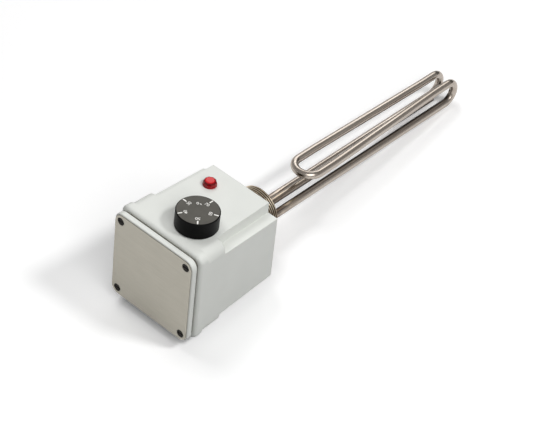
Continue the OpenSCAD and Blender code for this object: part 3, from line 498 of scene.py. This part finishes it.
def figure_mesh(words, height):
    """Flat mesh of a text, centred on the origin, whose figures stand height millimetres tall. Its strokes
    swell a little, as paint does."""
    curve = bpy.data.curves.new("figures", "FONT")
    curve.body, curve.size = words, height * FONT_PER_FIGURE * MM
    curve.align_x, curve.align_y = "CENTER", "CENTER"
    curve.offset = STROKE_SWELL * MM
    holder = bpy.data.objects.new("figures", curve)
    mesh = bpy.data.meshes.new_from_object(holder)
    bpy.data.objects.remove(holder)
    bpy.data.curves.remove(curve)
    return mesh


def stroke_mesh(length, width):
    """Flat painted stroke along its own Y with round ends: a band whose half width falls off as a circle
    over its last half width, and stops short of a point."""
    t = np.linspace(-1, 1, STROKE_STATIONS)
    past_straight = np.clip((np.abs(t) * length - (length - width)) / width, 0, 1)
    half = 0.5 * width * np.sqrt(np.clip(1 - past_straight ** 2, STROKE_END, 1))
    edges = np.concatenate([points_at(-half, t * length / 2, 0), points_at(half, t * length / 2, 0)])
    k = np.arange(STROKE_STATIONS - 1)
    quads = np.stack([k, k + STROKE_STATIONS, k + STROKE_STATIONS + 1, k + 1], -1)
    mesh = bpy.data.meshes.new("stroke")
    mesh.from_pydata((edges * MM).tolist(), [], quads.tolist())
    return mesh


# Each figure stands on its ray with a stroke outside it. The off mark has a slanting dash beside it.
face_level = Matrix.Translation((0, 0, (KNOB_TOP + MARK_LIFT) * MM))
dial_face = Matrix.Translation(knob_at) @ wall_lean.to_4x4() @ face_level
marks = bmesh.new()
for words, angle in (("0", 46.8), ("30", 88.7), ("40", 153.0), ("50", 222.6), ("60", 295.5), ("70", 0.7)):
    ray = Matrix.Rotation(np.radians(angle), 4, "Z")
    if words == "0":
        figure_at = Matrix.Translation((0, ZERO_R * MM, 0))
        stroke = stroke_mesh(DASH_LENGTH, DASH_WIDTH)
        stroke_at = Matrix.Translation((DASH_X * MM, DASH_R * MM, 0)) @ Matrix.Rotation(DASH_TURN, 4, "Z")
    else:
        figure_at = Matrix.Translation((0, FIGURE_R * MM, 0))
        stroke = stroke_mesh(TICK_LENGTH, TICK_WIDTH)
        stroke_at = Matrix.Translation((0, TICK_R * MM, 0))
    for mesh, spot in ((figure_mesh(words, FIGURE_HEIGHT), figure_at), (stroke, stroke_at)):
        mesh.transform(dial_face @ ray @ spot)
        marks.from_mesh(mesh)
        bpy.data.meshes.remove(mesh)
mark_mesh = bpy.data.meshes.new("dial_marks")
marks.to_mesh(mark_mesh)
marks.free()
dial_marks = bpy.data.objects.new("dial_marks", mark_mesh)
bpy.context.scene.collection.objects.link(dial_marks)

# Filling paint, wiped level with the face: chalky white, thinner in places.
filling_paint = mottled("white_filling_paint", "#ECEAE4", "#FAF9F5", (0.5, 0.65), 0.7, 0.005, {})
dial_marks.data.materials.append(filling_paint)
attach(dial_marks, "dial")

# Pilot lamp lens
# Clear red acrylic jewel, moulded in one piece: a round foot on the wall, and ten flat facets in four tiers
# under a flat top. It snaps on the lamp's body.

LENS_X, LENS_Y, LENS_COLUMNS, LENS_SIDES, ROUND_RINGS = -17.9, -39.4, 80, 10, 3
lens_foot = [LENS_X, LENS_Y, knob_at.z / MM - (LENS_Y - knob_at.y / MM) * knob_axis.y / knob_axis.z]

# Height and corner radius of each ring. The foot's rings are round. On the others the radius is times the
# cosine of half a side's sector over the cosine of the angle from the side's middle.
lens_h = np.array([0, 0.3, 1.5, 1.7, 3.2, 4.7, 5.6, 6.1])[:, None]
lens_r = np.array([6.8, 7.0, 7.0, 6.85, 6.8, 6.3, 5.5, 4.1])[:, None]
lens_turn = np.arange(LENS_COLUMNS) * 2 * np.pi / LENS_COLUMNS
lens_sector = 2 * np.pi / LENS_SIDES
facet = np.cos(lens_sector / 2) / np.cos(lens_turn % lens_sector - lens_sector / 2)
lens_r = lens_r * np.where(np.arange(len(lens_h))[:, None] < ROUND_RINGS, 1.0, facet)
lens_rings = points_at(lens_r * np.cos(lens_turn), lens_r * np.sin(lens_turn), lens_h)
lens = ring_shell("pilot_lens", on_wall(lens_rings, lens_foot), sharp=8)

# Clear red acrylic, drawn opaque. Its tone by height is painted light and painted shade: bright at its foot
# and on its flat top, and deep red on the tiers between, where the eye looks into its thickness, standing for
# the light that clear plastic carries and reflects. A faint flow haze moves the gloss.
red_lens, tree, place = bare_finish("clear_red_acrylic_moulding")
flow = add(tree, "TexNoise", {"Vector": place, "Scale": every_mm(2.5), "Detail": 2.0})
rise = add(tree, "MapRange", {"Value": add(tree, "SeparateXYZ", {0: place}, out="Z"),
                              "From Min": lens_foot[2] * MM, "From Max": (lens_foot[2] + lens_h.max()) * MM})
# Painted light and painted shade by height: bright foot and top, dark tiers.
tone = add(tree, "ValToRGB", {"Fac": rise}, stops=((0.06, "#BA0F1A"), (0.26, "#86070E"), (0.45, "#A00A12"),
                                                   (0.64, "#8A080F"), (0.78, "#5A0309"), (0.93, "#7E060D"),
                                                   (0.98, "#D01A20")))
rough = add(tree, "MapRange", {"Value": flow, **NOISE_SPAN, "To Min": 0.08, "To Max": 0.14})
skin = add(tree, "BsdfPrincipled", {"Base Color": tone, "Roughness": rough, "Specular IOR Level": 0.3,
                                    "IOR": 1.49})
add(tree, "OutputMaterial", {"Surface": skin})
lens.data.materials.append(red_lens)
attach(lens, "heater")
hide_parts("lamp_lens")

# Cable gland
# Moulded grey polyamide body, clamping nut and locknut. The body is screwed into the left wall, the locknut
# holds it from inside, and the nut would clamp a cable in the seal.

# Polyamide: smoother and glossier than the housing, in a cooler grey.
polyamide = moulded("moulded_grey_polyamide", "#C9CBC9", "#D2D4D1", 0.36, 0.6, 0.015, 0.4)
dress(polyamide, "gland_body", "gland_nut", "gland_locknut")

# Table, light and camera
# The heater lies tipped back on the housing's lower rear edge and its far bends, on a pale table. A far lamp
# stands high on its right and a weaker one on its left, with softboxes at the back left and the front right.

TABLE_HALF, TABLE_TILT, TABLE_UNDER, TABLE_AT_Y = 6.0, np.radians(6.16), 48.7 * MM, -15 * MM
table_x = np.array([-1, 1, 1, -1]) * TABLE_HALF
table_y = np.array([-1, -1, 1, 1]) * TABLE_HALF
table_z = (table_y - TABLE_AT_Y) * np.tan(TABLE_TILT) - TABLE_UNDER
table_mesh = bpy.data.meshes.new("table")
table_mesh.from_pydata(points_at(table_x, table_y, table_z).tolist(), [], [(0, 1, 2, 3)])
table = bpy.data.objects.new("table", table_mesh)
bpy.context.scene.collection.objects.link(table)


def seen_directly(tree):
    """1 on a ray from the eye, a reflection or a clear piece, and 0 on one that only carries light."""
    seen = 0.0
    for ray in ("Is Camera Ray", "Is Glossy Ray", "Is Transmission Ray"):
        seen = add(tree, "Math", {0: seen, 1: add(tree, "LightPath", out=ray)}, operation="MAXIMUM")
    return seen


# Matt white: the eye, reflections and clear pieces see it white, and its bounce on the heater is grey.
# From below it is clear, so that the underside can be looked at.
TABLE_GLOW = 0.115
table_paint, tree, _ = bare_finish("matt_white_table")
seen = seen_directly(tree)
tone = add(tree, "Mix", {0: seen, 6: linear("#7C7C7C"), 7: linear("#FFFFFF")}, out=2, data_type="RGBA")
glow = add(tree, "Emission", {"Strength": add(tree, "Math", {0: seen, 1: TABLE_GLOW}, operation="MULTIPLY")})
matt = add(tree, "AddShader", {0: add(tree, "BsdfDiffuse", {"Color": tone}), 1: glow})
below = add(tree, "NewGeometry", out="Backfacing")
surface = add(tree, "MixShader", {0: below, 1: matt, 2: add(tree, "BsdfTransparent")})
add(tree, "OutputMaterial", {"Surface": surface})
table.data.materials.append(table_paint)

# Room: pale grey all round and dim behind the heater. The lamps give most of the light, so the light
# that the room sheds is weaker than the eye and reflections see it.
ROOM_FILL, DIM_FROM, DIM_FULL, DIM_LEVEL = 0.22, 0.7, 0.84, 0.25
world = bpy.data.worlds.new("studio")
bpy.context.scene.world = world
world.use_nodes = True
tree = world.node_tree
tree.nodes.clear()
way = add(tree, "TexCoord", out="Generated")
room = add(tree, "ValToRGB", {"Fac": add(tree, "SeparateXYZ", {0: way}, out="Z")},
           stops=((0.0, "#CDCDCD"), (0.25, "#C5C5C5"), (0.5, "#B6B6B6"), (0.65, "#A9A9A9"), (0.8, "#A4A4A4"),
                  (1.0, "#B3B3B3")))
dim = add(tree, "MapRange", {"Value": add(tree, "SeparateXYZ", {0: way}, out="Y"), "From Min": DIM_FROM,
                             "From Max": DIM_FULL, "To Min": 1.0, "To Max": DIM_LEVEL},
          interpolation_type="SMOOTHSTEP")
fill = add(tree, "MapRange", {"Value": seen_directly(tree), "To Min": ROOM_FILL, "To Max": 1.0})
level = add(tree, "Math", {0: dim, 1: fill}, operation="MULTIPLY")
add(tree, "OutputWorld", {"Surface": add(tree, "Background", {"Color": room, "Strength": level})})


def softbox(name, at, aim, width, height, brightness):
    """Rectangular lamp of a given surface brightness: its power is brightness times pi times area."""
    lamp = bpy.data.lights.new(name, "AREA")
    lamp.shape, lamp.size, lamp.size_y = "RECTANGLE", width, height
    lamp.energy = brightness * np.pi * width * height
    holder = bpy.data.objects.new(name, lamp)
    holder.location = at
    holder.rotation_euler = (Vector(aim) - Vector(at)).to_track_quat("-Z", "Y").to_euler()
    bpy.context.scene.collection.objects.link(holder)


softbox("back_left_softbox", (-0.72, 1.09, 1.15), (0, 0.1, 0), 1.15, 0.7, 2.0)
softbox("front_right_softbox", (0.92, -0.53, 1.07), (0, 0.02, 0), 1.0, 0.9, 3.45)


def far_lamp(name, toward, power, angle):
    """Lamp so far off that its light is parallel: its direction, its power a square metre, its spread."""
    lamp = bpy.data.lights.new(name, "SUN")
    lamp.energy, lamp.angle = power, np.radians(angle)
    holder = bpy.data.objects.new(name, lamp)
    holder.rotation_euler = (-Vector(toward)).to_track_quat("-Z", "Y").to_euler()
    holder.visible_glossy = False
    bpy.context.scene.collection.objects.link(holder)


far_lamp("right_lamp", (0.559, 0.269, 0.785), 1.15, 11)
far_lamp("left_lamp", (-0.45, 0.05, 0.89), 0.8, 25)

# Camera: a long lens high on the front right, so that the heater's edges hardly converge.
camera = bpy.data.cameras.new("camera")
camera.lens, camera.sensor_width, camera.sensor_fit = 146.75, 36.0, "HORIZONTAL"
camera_holder = bpy.data.objects.new("camera", camera)
camera_holder.location = (0.9896, -1.2177, 1.3913)
camera_holder.rotation_euler = np.radians((48.105, -4.975, 42.864))
bpy.context.scene.collection.objects.link(camera_holder)
bpy.context.scene.camera = camera_holder
bpy.context.scene.view_settings.view_transform = "Standard"
